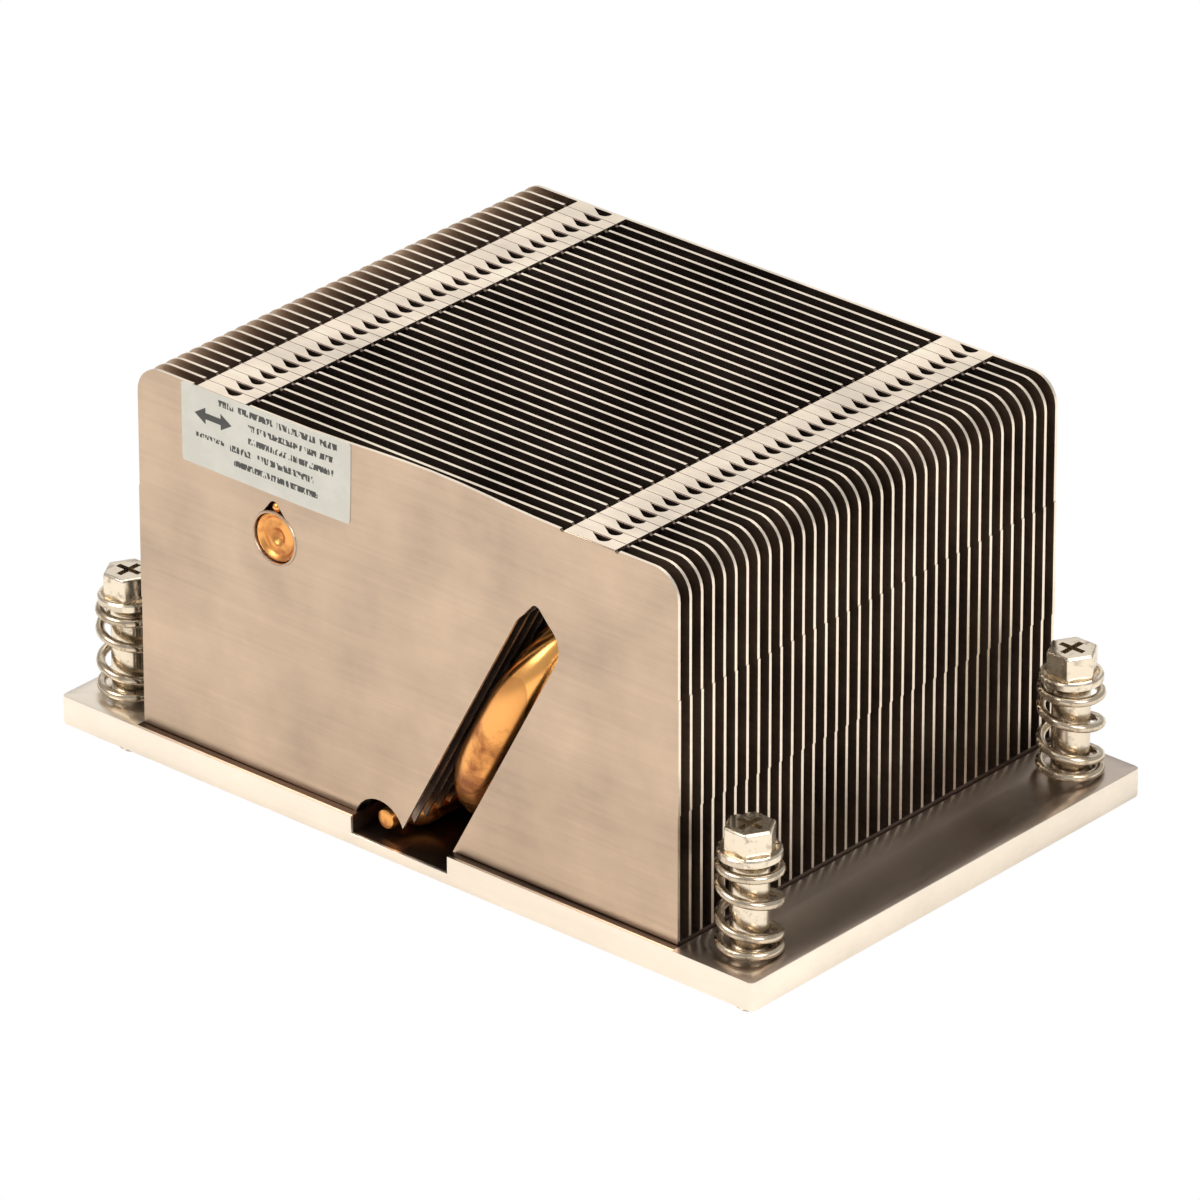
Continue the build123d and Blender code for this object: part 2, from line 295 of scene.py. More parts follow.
materials = {
    "fin": sheetMaterial(
        "finSheet", makeStackShade(),
        # Edge is a painted highlight, Face the outer faces, Gap the painted shade between the fins
        {"Edge": (0.92, 0.82, 0.70, 1), "Face": (0.53, 0.412, 0.318, 1), "Gap": (0.25, 0.19, 0.16, 1)},
        {"Streaks": 0.30, "Clouds": 0.75, "Roughness": 0.36}),
    "base_plate": sheetMaterial(
        "milledPlate", makeGrooveShade(),
        # Groove is painted shade with flux residue, End a painted shade on the top at the right end
        {"Plate": (0.90, 0.83, 0.74, 1), "Groove": (0.10, 0.07, 0.055, 1), "End": (0.52, 0.45, 0.40, 1)},
        {"Streaks": 0.12, "Clouds": 0.22, "Roughness": 0.30}),
    "copper": tarnishedMaterial("copperTube", 1.0, {
        "Clean": (1.0, 0.49, 0.15, 1), "Dull": (0.34, 0.12, 0.045, 1),
        "Scale": 170.0, "Cover": 0.40, "Roughness": 0.24}),
    "screw": tarnishedMaterial("nickelScrew", 1.0, {
        "Clean": (0.80, 0.72, 0.60, 1), "Dull": (0.40, 0.33, 0.26, 1),
        "Scale": 900.0, "Cover": 0.38, "Roughness": 0.2}),
    "spring": tarnishedMaterial("nickelWire", 1.0, {
        "Clean": (0.66, 0.57, 0.45, 1), "Dull": (0.34, 0.27, 0.20, 1),
        "Scale": 700.0, "Cover": 0.40, "Roughness": 0.18}),
    "retaining_ring": tarnishedMaterial("ringSteel", 1.0, {
        "Clean": (0.5, 0.48, 0.46, 1), "Dull": (0.25, 0.23, 0.21, 1),
        "Scale": 800.0, "Cover": 0.4, "Roughness": 0.35}),
    "label": tarnishedMaterial("labelFilm", 0.0, {
        "Clean": (0.56, 0.56, 0.52, 1), "Dull": (0.52, 0.52, 0.48, 1),
        "Scale": 300.0, "Cover": 0.5, "Roughness": 0.4}),
}


# print on the label: a double arrow and broken bars, drawn from the place on the fin in millimetres
def makePrintBar():
    tree, inside, outside = newGroup(
        "printBar",
        {"Place": (0.0, 0.0, 0.0), "Left": 0.0, "Right": 1.0, "Low": 0.0, "High": 1.0, "Slope": 0.0},
        {"Mask": valueKind})
    place = addNode(tree, "ShaderNodeSeparateXYZ", Vector=inside["Place"]).outputs
    run = calculate(tree, "SUBTRACT", place["X"], inside["Left"])
    spread = calculate(tree, "MULTIPLY", run, inside["Slope"])
    low = calculate(tree, "SUBTRACT", inside["Low"], spread)
    high = calculate(tree, "ADD", inside["High"], spread)
    mask = gather(tree, "MULTIPLY", (
        calculate(tree, "GREATER_THAN", place["X"], inside["Left"]),
        calculate(tree, "GREATER_THAN", inside["Right"], place["X"]),
        calculate(tree, "GREATER_THAN", place["Z"], low),
        calculate(tree, "GREATER_THAN", high, place["Z"])))
    tree.links.new(mask, outside["Mask"])
    return tree


printLook = {"ink": (0.05, 0.05, 0.05, 1), "grainScale": 2900.0, "grainStretch": 0.3, "inkFrom": 0.48}

# each mark: left, right, low, high and how fast it widens to the right, in millimetres
labelMarks = {
    "arrowBar": (-30.4, -27.1, 45.85, 46.65, 0),
    "arrowLeft": (-31.6, -29.9, 46.25, 46.25, 0.62),
    "arrowRight": (-27.6, -25.9, 45.2, 47.3, -0.62),
    "rowOneA": (-27.9, -25.6, 48.15, 48.95, 0), "rowOneB": (-24.9, -19.6, 48.15, 48.95, 0),
    "rowOneC": (-19.0, -13.2, 48.15, 48.95, 0), "rowOneD": (-12.6, -10.1, 48.15, 48.95, 0),
    "rowTwo": (-23.4, -10.6, 46.5, 47.25, 0),
    "rowThree": (-23.4, -10.6, 44.85, 45.6, 0),
    "rowFourA": (-31.4, -27.1, 43.35, 43.9, 0), "rowFourB": (-26.2, -22.8, 43.1, 43.9, 0),
    "rowFourC": (-22.0, -13.5, 43.1, 43.9, 0),
    "rowFive": (-25.6, -12.9, 41.4, 42.15, 0),
}


def printLabel(material):
    look, tree = printLook, material.node_tree
    base = tree.nodes["Principled BSDF"].inputs["Base Color"]
    bar = makePrintBar()
    metres = addNode(tree, "ShaderNodeTexCoord").outputs["Object"]
    place = addNode(tree, "ShaderNodeVectorMath", operation="SCALE", Vector=metres, Scale=1 / mm).outputs[0]
    stretch = addNode(tree, "ShaderNodeMapping", Vector=metres, Scale=(1, 1, look["grainStretch"]))
    grain = addNode(
        tree, "ShaderNodeTexNoise", Vector=stretch.outputs["Vector"], Scale=look["grainScale"], Detail=1.0)
    isInked = calculate(tree, "GREATER_THAN", grain.outputs["Fac"], look["inkFrom"])
    masks = []
    for name, (left, right, low, high, slope) in labelMarks.items():
        mark = placeGroup(tree, bar, {
            "Place": place, "Left": left, "Right": right, "Low": low, "High": high, "Slope": slope})
        mark.label = name
        mask = mark.outputs["Mask"]
        masks.append(calculate(tree, "MULTIPLY", mask, isInked) if name.startswith("row") else mask)
    clean = base.links[0].from_socket
    tree.links.new(blend(tree, gather(tree, "MAXIMUM", masks), clean, look["ink"]), base)


printLabel(materials["label"])
print("materials made")


# modelling helpers: places and sizes go in as millimetres
def inMetres(place):
    return tuple(value * mm for value in place)


def takePiece(name):
    piece = bpy.context.object
    piece.name = name
    bpy.ops.object.transform_apply(location=True, rotation=True, scale=True)
    return piece


def addBox(name, low, high):
    bpy.ops.object.select_all(action="DESELECT")
    middle = [(a + b) / 2 for a, b in zip(low, high)]
    size = [b - a for a, b in zip(low, high)]
    bpy.ops.mesh.primitive_cube_add(size=1, location=inMetres(middle), scale=inMetres(size))
    return takePiece(name)


def addCylinder(name, radius, depth, place, turn=(0, 0, 0), sides=40):
    bpy.ops.object.select_all(action="DESELECT")
    bpy.ops.mesh.primitive_cylinder_add(
        vertices=sides, radius=radius * mm, depth=depth * mm, location=inMetres(place), rotation=turn)
    return takePiece(name)


def addCircle(name, radius, place, turn, sides, fill="NGON"):
    bpy.ops.object.select_all(action="DESELECT")
    bpy.ops.mesh.primitive_circle_add(
        vertices=sides, radius=radius * mm, fill_type=fill, location=inMetres(place), rotation=turn)
    return takePiece(name)


def makeActive(piece):
    bpy.ops.object.select_all(action="DESELECT")
    piece.select_set(True)
    bpy.context.view_layer.objects.active = piece


# joins what was added last, which is still selected
def joinTo(piece):
    piece.select_set(True)
    bpy.context.view_layer.objects.active = piece
    bpy.ops.object.join()


def pickAll(piece):
    makeActive(piece)
    bpy.ops.object.mode_set(mode="EDIT")
    bpy.ops.mesh.select_all(action="SELECT")


def pick(piece, kind, test):
    makeActive(piece)
    bpy.ops.object.mode_set(mode="EDIT")
    bpy.ops.mesh.select_mode(type=kind)
    bpy.ops.mesh.select_all(action="DESELECT")
    bpy.ops.object.mode_set(mode="OBJECT")
    points = [vertex.co / mm for vertex in piece.data.vertices]
    if kind == "FACE":
        for face in piece.data.polygons:
            face.select = test(face.center / mm, face.normal)
    elif kind == "EDGE":
        for edge in piece.data.edges:
            edge.select = test(points[edge.vertices[0]], points[edge.vertices[1]])
    else:
        for vertex, point in zip(piece.data.vertices, points):
            vertex.select = test(point)
    bpy.ops.object.mode_set(mode="EDIT")


def leaveEditing():
    bpy.ops.object.mode_set(mode="OBJECT")


def extrudeBy(move):
    bpy.ops.mesh.extrude_region_move(TRANSFORM_OT_translate={"value": inMetres(move)})


def bevelPicked(width, segments):
    bpy.ops.mesh.bevel(offset=width * mm, segments=segments, affect="EDGES")
    leaveEditing()


# an edge whose ends are more than a millimetre apart in height
def isUpright(a, b):
    return abs(a.z - b.z) > 1


def cutAcross(piece, point, normal):
    pickAll(piece)
    bpy.ops.mesh.bisect(plane_co=inMetres(point), plane_no=normal)
    leaveEditing()


def combine(piece, other, operation="DIFFERENCE"):
    makeActive(piece)
    modifier = piece.modifiers.new("combine", "BOOLEAN")
    modifier.operation = operation
    modifier.solver = "EXACT"
    modifier.object = other
    bpy.ops.object.modifier_apply(modifier="combine")
    bpy.data.objects.remove(other)


def roundEdges(piece, width, segments=2, limit=40):
    makeActive(piece)
    modifier = piece.modifiers.new("round", "BEVEL")
    modifier.width = width * mm
    modifier.segments = segments
    modifier.limit_method = "ANGLE"
    modifier.angle_limit = math.radians(limit)
    modifier.harden_normals = False
    bpy.ops.object.modifier_apply(modifier="round")


def closeUp(piece, angle=35):
    pickAll(piece)
    bpy.ops.mesh.remove_doubles(threshold=0.002 * mm)
    bpy.ops.mesh.normals_make_consistent(inside=False)
    leaveEditing()
    bpy.ops.object.shade_smooth_by_angle(angle=math.radians(angle))


# turned piece: each ring is a height and a radius, stacked along Z or along Y
def turnPiece(name, middle, rings, sides, alongY=False):
    x, other = middle

    def place(height):
        return (x, height, other) if alongY else (x, other, height)

    height, radius = rings[0]
    piece = addCircle(name, radius, place(height), (-quarterTurn, 0, 0) if alongY else (0, 0, 0), sides)
    pickAll(piece)
    for nextHeight, nextRadius in rings[1:]:
        rise, scale = nextHeight - height, nextRadius / radius
        extrudeBy((0, rise, 0) if alongY else (0, 0, rise))
        bpy.ops.transform.resize(
            value=(scale, 1, scale) if alongY else (scale, scale, 1),
            center_override=inMetres(place(nextHeight)))
        height, radius = nextHeight, nextRadius
    leaveEditing()
    return piece


def copyTo(piece, name, move=(0, 0, 0), turn=0):
    twin = piece.copy()
    twin.data = piece.data.copy()
    twin.name = name
    shift, spin = Matrix.Translation(Vector(inMetres(move))), Matrix.Rotation(math.radians(turn), 4, "Z")
    twin.data.transform(shift @ spin)
    bpy.context.scene.collection.objects.link(twin)
    return twin


def handIn(piece, node, body, slotName):
    piece.name = node + "_piece"
    piece.data.materials.clear()
    piece.data.materials.append(materials[slotName])
    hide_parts(node)
    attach(piece, body)


# base plate with its groove, screw holes and ring pockets
plateSizes = {
    "length": 105.0, "width": 68.0, "thickness": 3.6, "cornerCut": 0.6, "edgeRound": 0.18,
    "grooveWidth": 14.6, "grooveFloor": 1.4,
    "holeRadius": 2.55, "holeCutter": 12, "pocketRadius": 4.0, "pocketDepth": 1.3,
}


def makePlate():
    size = plateSizes
    halfLength, halfWidth, top = size["length"] / 2, size["width"] / 2, size["thickness"]
    plate = addBox("plate", (-halfLength, -halfWidth, 0), (halfLength, halfWidth, top))
    pick(plate, "EDGE", isUpright)
    bevelPicked(size["cornerCut"], 2)
    grooveLow = (-size["grooveWidth"] / 2, -halfWidth - past, size["grooveFloor"])
    grooveHigh = (size["grooveWidth"] / 2, halfWidth + past, top + past)
    combine(plate, addBox("groove", grooveLow, grooveHigh))
    for x, y in corners.values():
        combine(plate, addCylinder("hole", size["holeRadius"], size["holeCutter"], (x, y, 0)))
        combine(plate, addCylinder("pocket", size["pocketRadius"], 2 * size["pocketDepth"], (x, y, 0)))
    roundEdges(plate, size["edgeRound"])
    closeUp(plate)
    handIn(plate, "base_plate", "heatsink", "base_plate")


makePlate()
print("plate made")


# captive screw: thread, ring seat, shank, dished flange and hexagon head with a cross recess
screwSizes = {
    "threadReach": 3.7, "threadRadius": 1.6, "threadRoot": 1.36, "threadPitch": 0.62,
    "tipRadius": 1.1, "tipRun": 0.4, "sides": 36,
    "shankRadius": 2.25, "shankEdge": 0.15, "seatRadius": 1.75, "seatLow": 0.5, "seatHigh": 1.3,
    "flangeBottom": 15.5, "flangeRadius": 3.7, "flangeRim": 0.45, "flangeTop": 16.5, "flangeEdge": 0.2,
    "footWidth": 0.15, "footHeight": 0.12, "dish": 0.3, "dishRadius": 2.9, "neckRadius": 2.2,
    "acrossFlats": 5.4, "headTop": 19.4, "headEdge": 0.35, "headCorner": 0.22, "headSink": 0.2,
    "crossLength": 3.4, "crossWidth": 0.75, "crossDepth": 1.5,
}


def screwRings():
    size = screwSizes
    tip, pitch, root = -size["threadReach"], size["threadPitch"], size["threadRoot"]
    rings = [(tip, size["tipRadius"])]
    height = tip + size["tipRun"]
    while height < -pitch:
        rings += [(height, size["threadRadius"]), (height + pitch / 2, root)]
        height += pitch
    shank, seat, edge = size["shankRadius"], size["seatRadius"], size["shankEdge"]
    low, high = size["seatLow"], size["seatHigh"]
    rings += [(0, root), (0, shank - edge), (edge, shank)]
    rings += [(low, shank), (low, seat), (high, seat), (high, shank)]
    flange, bottom, top = size["flangeRadius"], size["flangeBottom"], size["flangeTop"]
    edge, dish = size["flangeEdge"], top - size["dish"]
    rings += [(bottom, shank), (bottom, flange - size["footWidth"]), (bottom + size["footHeight"], flange)]
    rings += [(top - edge, flange), (top, flange - edge), (top, flange - size["flangeRim"])]
    rings += [(dish, size["dishRadius"]), (dish, size["neckRadius"])]
    return rings


def makeScrew():
    size = screwSizes
    screw = turnPiece("screw", (0, 0), screwRings(), size["sides"])
    closeUp(screw)
    reach = size["acrossFlats"] / 2 / math.cos(math.pi / 6)
    low, top = size["flangeTop"] - size["dish"] - size["headSink"], size["headTop"]
    head = addCylinder("head", reach, top - low, (0, 0, (top + low) / 2), (0, 0, math.pi / 6), sides=6)
    pick(head, "EDGE", isUpright)
    bevelPicked(size["headCorner"], 3)
    pick(head, "EDGE", lambda a, b: min(a.z, b.z) > top - near)
    bevelPicked(size["headEdge"], 3)
    combine(screw, head, "UNION")
    half, wide, bottom = size["crossLength"] / 2, size["crossWidth"] / 2, top - size["crossDepth"]
    combine(screw, addBox("slotA", (-half, -wide, bottom), (half, wide, top + past)))
    combine(screw, addBox("slotB", (-wide, -half, bottom), (wide, half, top + past)))
    closeUp(screw)
    return screw


screwModel = makeScrew()
for corner, (x, y) in corners.items():
    handIn(copyTo(screwModel, "screw", (x, y, 0)), "screw_" + corner, "screw_" + corner, "screw")
bpy.data.objects.remove(screwModel)
print("screws made")


# spring: a close coil at each end, open coils between them
springSizes = {
    "wire": 0.55, "outer": 4.0, "foot": 3.6, "height": 11.9, "endPitch": 1.2, "openTurns": 2,
    "startAngle": 77.0, "stepsPerTurn": 36, "sides": 12, "pressed": 4.5,
}


def coilHeight(turn):
    size = springSizes
    openRise = size["height"] - 2 * size["wire"] - 2 * size["endPitch"]
    openPart = min(max(turn - 1, 0), size["openTurns"])
    return (turn - openPart) * size["endPitch"] + openPart * openRise / size["openTurns"]


def makeSpring():
    size = springSizes
    sides, turns = size["sides"], size["openTurns"] + 2
    start = (size["outer"] - size["wire"], 0, 0)
    spring = addCircle("spring", size["wire"], start, (quarterTurn, 0, 0), sides, fill="NOTHING")
    coil = spring.modifiers.new("coil", "SCREW")
    coil.angle = -2 * math.pi * turns
    coil.screw_offset = turns * mm
    coil.steps = coil.render_steps = turns * size["stepsPerTurn"]
    bpy.ops.object.modifier_apply(modifier="coil")
    # the modifier climbs a millimetre a turn, which is changed to the real climb
    for index, vertex in enumerate(spring.data.vertices):
        turn = index // sides / size["stepsPerTurn"]
        vertex.co.z += (coilHeight(turn) - turn + size["foot"] + size["wire"]) * mm
    # a face closes each end of the wire
    for ring in (0, turns * size["stepsPerTurn"]):
        pick(spring, "VERT", lambda point: False)
        leaveEditing()
        for vertex in list(spring.data.vertices)[ring * sides:(ring + 1) * sides]:
            vertex.select = True
        bpy.ops.object.mode_set(mode="EDIT")
        bpy.ops.mesh.edge_face_add()
        leaveEditing()
    spring.data.transform(Matrix.Rotation(math.radians(size["startAngle"]), 4, "Z"))
    closeUp(spring)
    return spring


springModel = makeSpring()
for corner, (x, y) in corners.items():
    spring = copyTo(springModel, "spring", (x, y, 0))
    handIn(spring, "spring_" + corner, "heatsink", "spring")
    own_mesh(spring)
bpy.data.objects.remove(springModel)
print("springs made")


# open retaining ring on the screw, in its pocket
ringSizes = {
    "radius": 3.5, "seat": 1.8, "mouth": 2.6, "low": 0.55, "high": 1.25, "edge": 0.08,
    "seatCutter": 4, "mouthReach": 5, "mouthLow": -2, "mouthHigh": 3,
}


def makeRing():
    size = ringSizes
    middle, half = (0, 0, (size["high"] + size["low"]) / 2), size["mouth"] / 2
    ring = addCylinder("ring", size["radius"], size["high"] - size["low"], middle, sides=48)
    combine(ring, addCylinder("seat", size["seat"], size["seatCutter"], (0, 0, 0), sides=32))
    mouthLow, mouthHigh = (-half, -size["mouthReach"], size["mouthLow"]), (half, 0, size["mouthHigh"])
    combine(ring, addBox("mouth", mouthLow, mouthHigh))
    roundEdges(ring, size["edge"])
    closeUp(ring)
    return ring


ringModel = makeRing()
for corner, (x, y) in corners.items():
    ring = copyTo(ringModel, "ring", (x, y, 0))
    handIn(ring, "retaining_ring_" + corner, "ring_" + corner, "retaining_ring")
bpy.data.objects.remove(ringModel)
print("rings made")


# heat pipe: dimpled end, upper leg, two bends, pressed lower leg and nipple
pipeSizes = {
    "radius": 3.0, "upperX": 19.65, "upperZ": 34.2, "lowerX": 3.65, "roundZ": 4.45, "pressedZ": 3.75,
    "pressedWidth": 6.7, "pressedHeight": 4.7, "bend": 14.0, "bendSteps": 14, "pressRun": 5.0,
    "endY": 32.32, "stackFront": -32.67, "sides": 32,
    # closed end, from the middle of its dimple outwards: how far past endY, and the radius there
    "dimple": ((-0.7, 0.25), (-0.62, 0.6), (-0.3, 0.95), (-0.16, 1.2), (-0.14, 1.45)),
    "rim": ((-0.3, 1.9), (-0.26, 2.3), (0.02, 2.6), (0.12, 2.8)),
    "shoulder": ((0.08, 2.94), (-0.1, 3.02), (-0.5, 3.0)),
    "taperRun": 3.2, "taperSteps": 6, "nippleRadius": 1.25, "nippleLength": 1.8,
    # tip of the nipple: the length of each step, and what it narrows to as a share
    "nippleTip": ((0.3, 0.9), (0.2, 0.6)),
    "beadRise": 3.75, "beadRadius": 0.62, "beadSink": 0.3,
}


def makePipe():
    size = pipeSizes
    lean = math.atan2(size["upperX"] - size["lowerX"], size["upperZ"] - size["roundZ"])
    leg = (size["upperZ"] - size["roundZ"]) / math.cos(lean)
    up = Vector((math.sin(lean), 0, math.cos(lean)))
    foot = Vector((size["lowerX"], 0, size["roundZ"]))
    bendY = size["stackFront"] + size["radius"] + size["bend"]

    def bendRound(height):
        centre = foot + up * height + Vector((0, bendY, 0))
        axis = (math.cos(lean), 0, -math.sin(lean))
        bpy.ops.mesh.spin(steps=size["bendSteps"], angle=-quarterTurn, center=inMetres(centre), axis=axis)

    profile = size["dimple"] + size["rim"] + size["shoulder"]
    rings = [(size["endY"] + rise, radius) for rise, radius in profile]
    pipe = turnPiece("pipe", (size["upperX"], size["upperZ"]), rings, size["sides"], alongY=True)
    bpy.ops.object.mode_set(mode="EDIT")
    extrudeBy((0, bendY - rings[-1][0], 0))
    bendRound(leg - size["bend"])
    extrudeBy(-up * (leg - 2 * size["bend"]))
    bendRound(size["bend"])
    # pressed flat in the groove
    extrudeBy((0, size["pressRun"], size["pressedZ"] - size["roundZ"]))
    pressY = bendY + size["pressRun"]
    middle = inMetres((size["lowerX"], pressY, size["pressedZ"]))
    halfWidth, halfHeight, nipple = size["pressedWidth"] / 2, size["pressedHeight"] / 2, size["nippleRadius"]
    flattened = (halfWidth / size["radius"], 1, halfHeight / size["radius"])
    bpy.ops.transform.resize(value=flattened, center_override=middle)
    extrudeBy((0, size["endY"] - size["nippleLength"] - size["taperRun"] - pressY, 0))
    # swaged down to the nipple
    wide, high, steps = halfWidth, halfHeight, size["taperSteps"]
    for step in range(1, steps + 1):
        share = (1 - math.cos(math.pi * step / steps)) / 2
        nextWide = halfWidth + (nipple - halfWidth) * share
        nextHigh = halfHeight + (nipple - halfHeight) * share
        extrudeBy((0, size["taperRun"] / steps, 0))
        bpy.ops.transform.resize(value=(nextWide / wide, 1, nextHigh / high), center_override=middle)
        wide, high = nextWide, nextHigh
    straight = size["nippleLength"] - sum(run for run, scale in size["nippleTip"])
    for run, scale in ((straight, 1), *size["nippleTip"]):
        extrudeBy((0, run, 0))
        bpy.ops.transform.resize(value=(scale, 1, scale), center_override=middle)
    leaveEditing()
    # bead of solder in the drop of the outer fin
    bead = (size["upperX"], size["endY"] - size["beadSink"], size["upperZ"] + size["beadRise"])
    bpy.ops.object.select_all(action="DESELECT")
    bpy.ops.mesh.primitive_uv_sphere_add(
        segments=16, ring_count=10, radius=size["beadRadius"] * mm, location=inMetres(bead))
    takePiece("bead")
    joinTo(pipe)
    closeUp(pipe)
    return pipe


pipeModel = makePipe()
handIn(copyTo(pipeModel, "pipe"), "heat_pipe_front", "heatsink", "copper")
handIn(copyTo(pipeModel, "pipe", turn=180), "heat_pipe_back", "heatsink", "copper")
bpy.data.objects.remove(pipeModel)
print("pipes made")


# fins: one blank with folded tabs and feet, then the cuts of each kind
finSizes = {
    "count": 35, "pitch": 1.91, "thickness": 0.4, "length": 81.0, "bottom": 3.6, "top": 49.6, "corner": 3.5,
    "landLow": 19.8, "landHigh": 34.1, "landStep": 0.1,
    "tabCentre": 27.6, "tabWidth": 7.4, "footInner": 8.2, "foldRound": 0.18, "notchRadius": 0.3,
    "windowStart": 2.7, "windowLength": 2.7, "windowRadius": 0.85, "windowTip": 0.12,
    "windowInset": 0.35, "windowPast": 0.5,
    "holeRadius": 3.15, "solderRadius": 0.75, "solderRise": 3.9, "collarRadius": 3.22, "collarWire": 0.17,
    "slotRadius": 3.4, "slotFootX": 2.01, "slotFootZ": 1.4, "slotClearance": 0.06, "slottedFins": 9,
    "archRadius": 3.77, "archX": 4.07, "archZ": 2.48, "archFoot": 3.55, "archClearance": 0.15,
}


# cutter with round ends: a hull round cylinders, each with its place, radius and number of sides
def hullCutter(parts, turn=(0, 0, 0)):
    cutter = None
    for place, radius, sides in parts:
        part = addCylinder("cutter", radius, 2 * past, place, turn, sides)
        if cutter:
            joinTo(cutter)
        else:
            cutter = part
    pickAll(cutter)
    bpy.ops.mesh.convex_hull()
    leaveEditing()
    return cutter


def throughFin(middles, radius, smallRadius=None, sides=36):
    radii = (radius, smallRadius or radius)
    parts = [((x, 0, z), partRadius, sides) for (x, z), partRadius in zip(middles, radii)]
    return hullCutter(parts, (quarterTurn, 0, 0))


# lands: the middle of both ends stands out a little
def addLands(blank):
    low, high, step = finSizes["landLow"], finSizes["landHigh"], finSizes["landStep"]
    for height in (low, high):
        cutAcross(blank, (0, 0, height), (0, 0, 1))
    for side in (-1, 1):
        pick(blank, "FACE", lambda middle, normal: normal.x * side > faceOn and low < middle.z < high)
        extrudeBy((step * side, 0, 0))
        leaveEditing()


# tabs along the top and feet at the bottom, folded back to the next fin
def foldBlank(blank):
    size = finSizes
    bottom, top, thickness, footInner = size["bottom"], size["top"], size["thickness"], size["footInner"]
    tabLow, tabHigh = size["tabCentre"] - size["tabWidth"] / 2, size["tabCentre"] + size["tabWidth"] / 2
    for x in (-tabHigh, -tabLow, tabLow, tabHigh, -footInner, footInner):
        cutAcross(blank, (x, 0, 0), (1, 0, 0))
    cutAcross(blank, (0, 0, top - thickness), (0, 0, 1))
    cutAcross(blank, (0, 0, bottom + thickness), (0, 0, 1))

    def inTab(point, margin=0.0):
        return tabLow - margin < abs(point.x) < tabHigh + margin

    def foldBack(isFolded):
        pick(blank, "FACE", lambda middle, normal: normal.y > faceOn and isFolded(middle))
        extrudeBy((0, size["pitch"] - thickness, 0))
        leaveEditing()

    def isFold(a, b):
        if max(a.y, b.y) > near - thickness / 2 or abs(a.x - b.x) < 1:
            return False
        ofTab = all(inTab(point, near) and point.z > top - near for point in (a, b))
        ofFoot = all(abs(point.x) > footInner - near and point.z < bottom + near for point in (a, b))
        return ofTab or (ofFoot and a.x * b.x > 0)

    foldBack(lambda middle: middle.z > top - thickness and inTab(middle))
    foldBack(lambda middle: middle.z < bottom + thickness and abs(middle.x) > footInner)
    pick(blank, "EDGE", isFold)
    bevelPicked(size["foldRound"], 3)


# window in each tab and a relief notch at each side of it
def cutTabs(blank):
    size = finSizes
    top, tip, notch = size["top"], size["windowTip"], size["notchRadius"]
    free = size["pitch"] - size["thickness"] / 2
    for side in (-1, 1):
        left = side * size["tabCentre"] - size["tabWidth"] / 2
        start, end = left + size["windowStart"], left + size["windowStart"] + size["windowLength"]
        roundEnd = (end - size["windowRadius"], free - size["windowInset"], top)
        combine(blank, hullCutter((
            ((start, free + size["windowPast"], top), tip, 16),
            ((start, free, top), tip, 24),
            (roundEnd, size["windowRadius"], 24))))
        for edge in (left - notch, left + size["tabWidth"] + notch):
            combine(blank, throughFin([(edge, top)], notch, sides=20))


def makeBlank(folded):
    size = finSizes
    half, thin, top = size["length"] / 2, size["thickness"] / 2, size["top"]
    blank = addBox("blank", (-half, -thin, size["bottom"]), (half, thin, top))
    pick(blank, "EDGE", lambda a, b: abs(a.y - b.y) > thin and a.z > top - near)
    bevelPicked(size["corner"], 8)
    addLands(blank)
    if folded:
        foldBlank(blank)
        cutTabs(blank)
    return blank


# slotSide is 1 for a slot on the right, -1 on the left and 0 for none
def makeFinKind(blank, slotSide, name):
    size, pipe = finSizes, pipeSizes
    upperX, upperZ = pipe["upperX"], pipe["upperZ"]
    fin = copyTo(blank, name)
    if slotSide:
        ends = [(slotSide * upperX, upperZ), (slotSide * size["slotFootX"], size["slotFootZ"])]
        combine(fin, throughFin(ends, size["slotRadius"]))
        combine(fin, throughFin([(-slotSide * size["archX"], size["archZ"])], size["archRadius"]))
    for side in (-1, 1):
        radius = size["slotRadius"] - size["slotClearance"] if side == slotSide else size["holeRadius"]
        ends = [(side * upperX, upperZ), (side * upperX, upperZ + size["solderRise"])]
        combine(fin, throughFin(ends, radius, size["solderRadius"]))
    if not slotSide:
        feet = [(-pipe["lowerX"], size["archFoot"]), (pipe["lowerX"], size["archFoot"])]
        combine(fin, throughFin(feet, pipe["pressedWidth"] / 2 + size["archClearance"]))
    closeUp(fin, 30)
    return fin


# bright rolled rim round the pipe end on the outermost fin
def addCollar(fin, side):
    size = finSizes
    place = (side * pipeSizes["upperX"], -size["thickness"] / 2, pipeSizes["upperZ"])
    bpy.ops.object.select_all(action="DESELECT")
    bpy.ops.mesh.primitive_torus_add(
        major_radius=size["collarRadius"] * mm, minor_radius=size["collarWire"] * mm,
        major_segments=40, minor_segments=8, location=inMetres(place), rotation=(quarterTurn, 0, 0))
    takePiece("collar")
    joinTo(fin)
    bpy.ops.object.shade_smooth_by_angle(angle=math.radians(30))


# dent: the top edge between the tabs is pushed back, and the parts round it follow
dent = {
    "x": 3.0, "depth": 1.1, "reach": 20.0, "grip": 0.1,
    "columns": (-14, -9.5, -5, -1, 3, 7, 11, 15, 19), "rows": (33.5, 38, 42, 45.5, 48),
}


def dentBack(piece, low, high):
    top, grip = finSizes["top"], dent["grip"]
    for x in dent["columns"]:
        if low < x < high:
            cutAcross(piece, (x, 0, 0), (1, 0, 0))
    for z in dent["rows"]:
        cutAcross(piece, (0, 0, z), (0, 0, 1))
    pick(piece, "VERT", lambda point: abs(point.x - dent["x"]) < grip and point.z > top - grip)
    bpy.ops.transform.translate(
        value=(0, dent["depth"] * mm, 0), use_proportional_edit=True, proportional_edit_falloff="SMOOTH",
        proportional_size=dent["reach"] * mm)
    leaveEditing()


